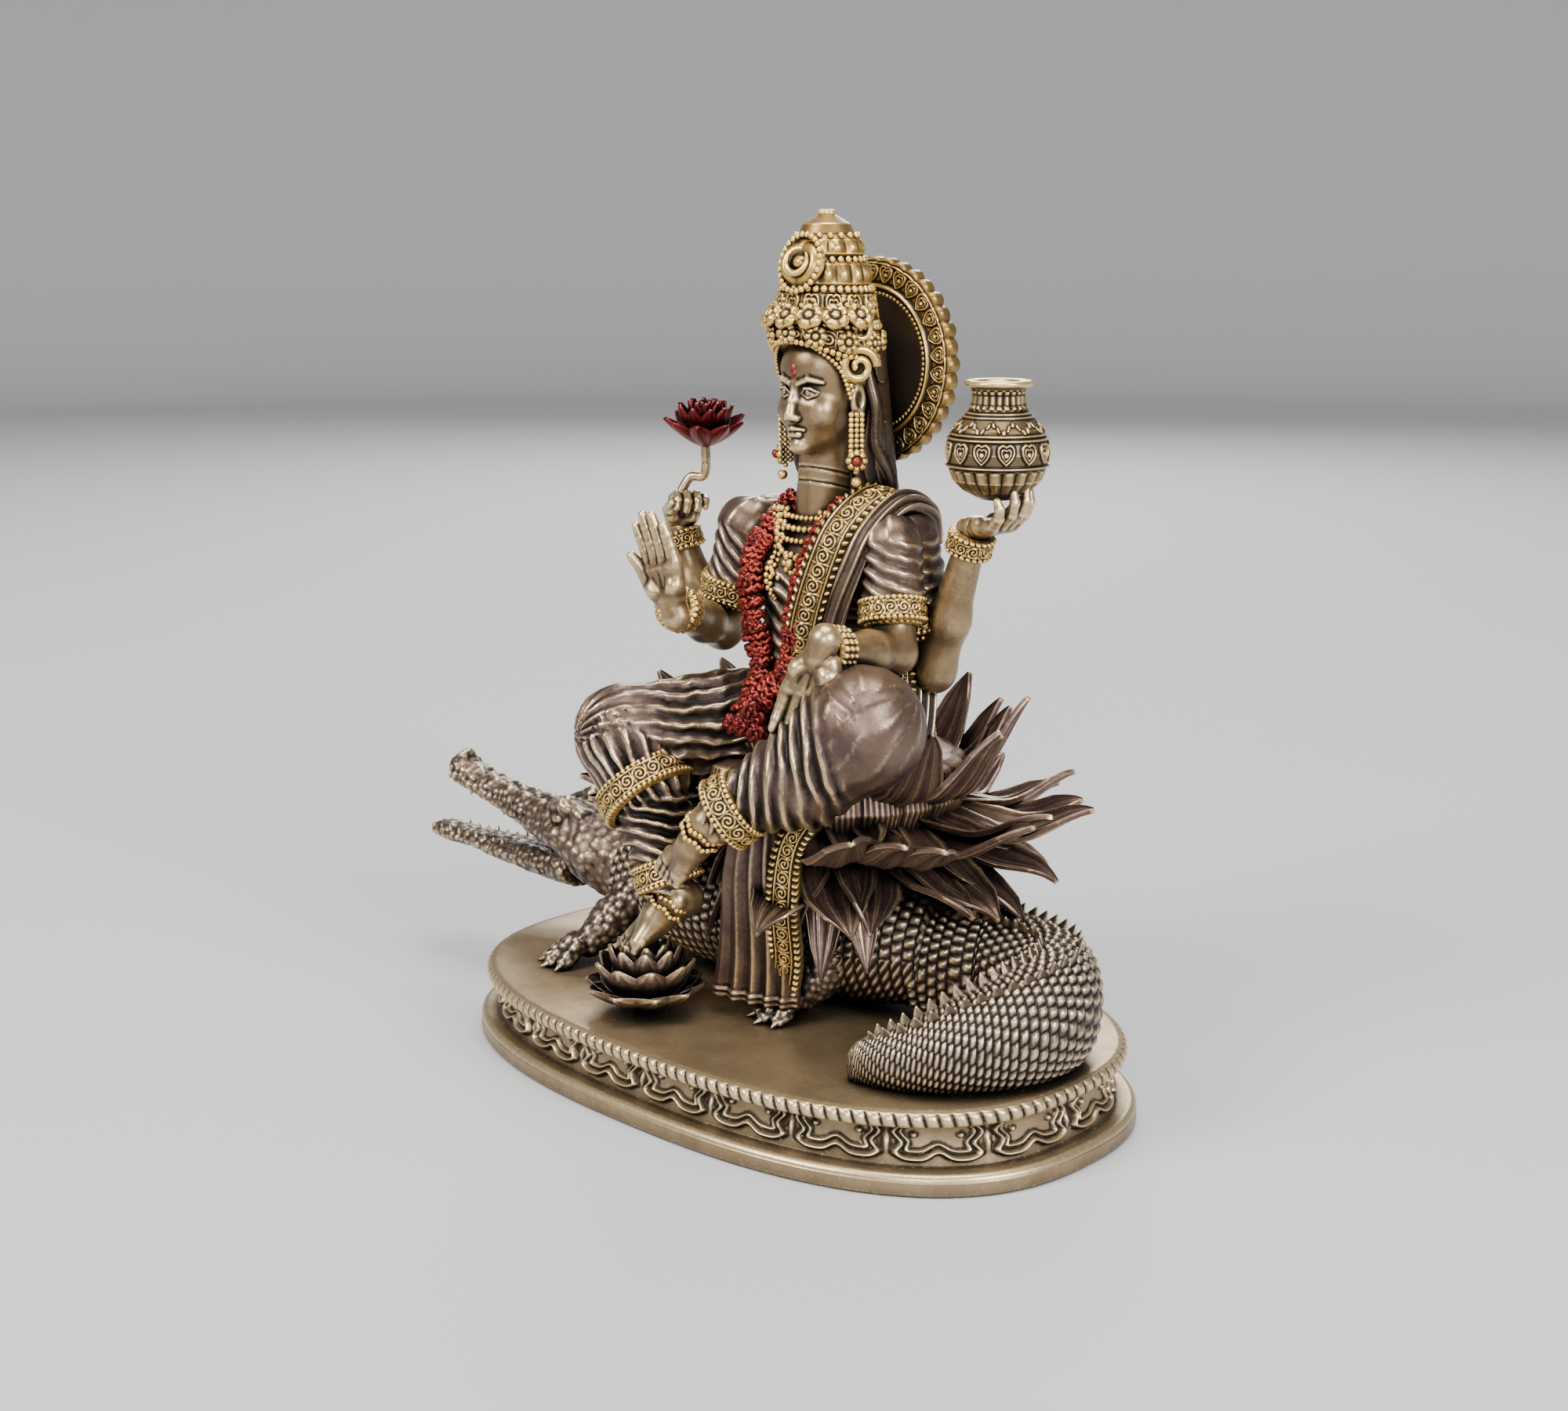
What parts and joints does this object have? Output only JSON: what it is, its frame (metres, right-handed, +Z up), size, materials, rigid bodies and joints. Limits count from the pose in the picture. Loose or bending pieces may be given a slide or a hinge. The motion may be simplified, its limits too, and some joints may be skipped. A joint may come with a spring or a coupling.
{
  "type": "hindu deity statue",
  "caption": "Seated four-armed goddess figurine with halo, lotus flower and water pot, on a lotus throne over a crocodile, standing on an oval plinth.",
  "frame": {"origin": "centre of the plinth's underside", "axes": "+Z up; the figure faces -Y; +X is the figure's left, where the crocodile's tail curls; the crocodile's head is at -X"},
  "size_m": [0.2386, 0.1269, 0.2159],
  "materials": {
    "base_bronze": "satin, olive-gold metallic, worn bright on raised edges",
    "crocodile_bronze": "satin, dark brown metallic with pale gold dry-brushing on scales",
    "petal_bronze": "satin, purple-brown metallic with pale gold ridges",
    "cloth_bronze": "satin, purple-brown metallic with pale gold fold tops",
    "skin_bronze": "satin, gold-brown metallic, polished smooth",
    "hair_bronze": "satin, dark brown metallic with bronze strands",
    "ornament_gold": "satin ochre-gold with dark wash in the recesses",
    "halo_dark": "smooth dark bronze",
    "flower_red": "deep red-maroon over bronze with pale petal edges"
  },
  "bodies": {
    "root": {"anklets": "ornament_gold", "armlets": "ornament_gold", "bracelets": "ornament_gold", "crocodile_body": "crocodile_bronze", "crocodile_front_left_leg": "crocodile_bronze", "crocodile_front_right_leg": "crocodile_bronze", "crocodile_lower_jaw": "crocodile_bronze", "crocodile_rear_left_leg": "crocodile_bronze", "crocodile_rear_right_leg": "crocodile_bronze", "crocodile_skull": "crocodile_bronze", "crocodile_teeth": "crocodile_bronze", "crown": "ornament_gold", "drape_border": "ornament_gold", "earrings": "ornament_gold", "foot_lotus": "petal_bronze", "front_drape": "cloth_bronze", "garland": "flower_red", "hair": "hair_bronze", "halo_disc": "halo_dark", "halo_rim": "ornament_gold", "hanging_petals": "petal_bronze", "head": "skin_bronze", "held_lotus": "flower_red", "hem_bands": "ornament_gold", "left_back_forearm": "skin_bronze", "left_back_hand": "skin_bronze", "left_back_upper_arm": "skin_bronze", "left_foot": "skin_bronze", "left_front_forearm": "skin_bronze", "left_front_hand": "skin_bronze", "left_front_upper_arm": "skin_bronze", "left_shin": "cloth_bronze", "left_thigh": "cloth_bronze", "lotus_core": "petal_bronze", "lower_petals": "petal_bronze", "middle_petals": "petal_bronze", "necklace": "ornament_gold", "pelvis": "cloth_bronze", "plinth": "base_bronze", "pot": "ornament_gold", "right_back_forearm": "skin_bronze", "right_back_hand": "skin_bronze", "right_back_upper_arm": "skin_bronze", "right_foot": "skin_bronze", "right_front_forearm": "skin_bronze", "right_front_hand": "skin_bronze", "right_front_upper_arm": "skin_bronze", "right_shin": "cloth_bronze", "right_thigh": "cloth_bronze", "sash": "cloth_bronze", "shawl": "cloth_bronze", "tail_curl": "crocodile_bronze", "tail_root": "crocodile_bronze", "tail_scutes": "crocodile_bronze", "tail_tip": "crocodile_bronze", "torso": "cloth_bronze", "upper_petals": "petal_bronze"}
  },
  "joints": []
}
